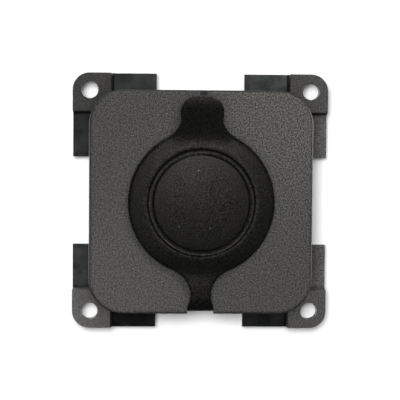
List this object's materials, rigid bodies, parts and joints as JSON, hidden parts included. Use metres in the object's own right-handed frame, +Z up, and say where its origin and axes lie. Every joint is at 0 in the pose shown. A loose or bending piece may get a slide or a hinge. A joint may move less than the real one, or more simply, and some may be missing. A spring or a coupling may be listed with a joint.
{
  "type": "car 12v power socket",
  "caption": "Square flush-mounting module with a round 12 volt power socket under a hinged soft cap, corner screw ears and rear blade terminals.",
  "frame": {"origin": "on the socket's axis, in the plane of the ears' rear faces, which lie on the panel", "axes": "-Y out of the socket's mouth towards the user, +Z up the panel, +X to the right seen from the front"},
  "size_m": [0.06, 0.0564, 0.06],
  "materials": {
    "plate_plastic": "dark grey, fine spark-textured face",
    "cap_rubber": "black, fine grain, satin",
    "body_plastic": "black moulded, satin",
    "gasket_rubber": "black, matt",
    "zinc_steel": "zinc plated",
    "nickel_brass": "nickel plated",
    "phenolic": "brown laminate",
    "terminal_brass": "plain stamped brass"
  },
  "bodies": {
    "socket": {"module_plate": "plate_plastic", "socket_body": "body_plastic", "flange_gasket": "gasket_rubber", "ring_nut": "body_plastic", "ring_nut_washer": "zinc_steel", "contact_sleeve": "nickel_brass", "insulating_bush": "phenolic", "centre_contact": "nickel_brass", "stud_washer": "phenolic", "positive_terminal": "terminal_brass", "lock_washer": "zinc_steel", "stud_nut": "zinc_steel", "negative_terminal": "terminal_brass", "rivet": "nickel_brass"},
    "cap": {"cap": "cap_rubber"}
  },
  "joints": [
    {"name": "cap_swing", "type": "hinge", "parent": "socket", "child": "cap", "pos_m": [0, -0.0065, -0.02445], "axis": [1, 0, 0], "range_deg": [0, 180]}
  ]
}
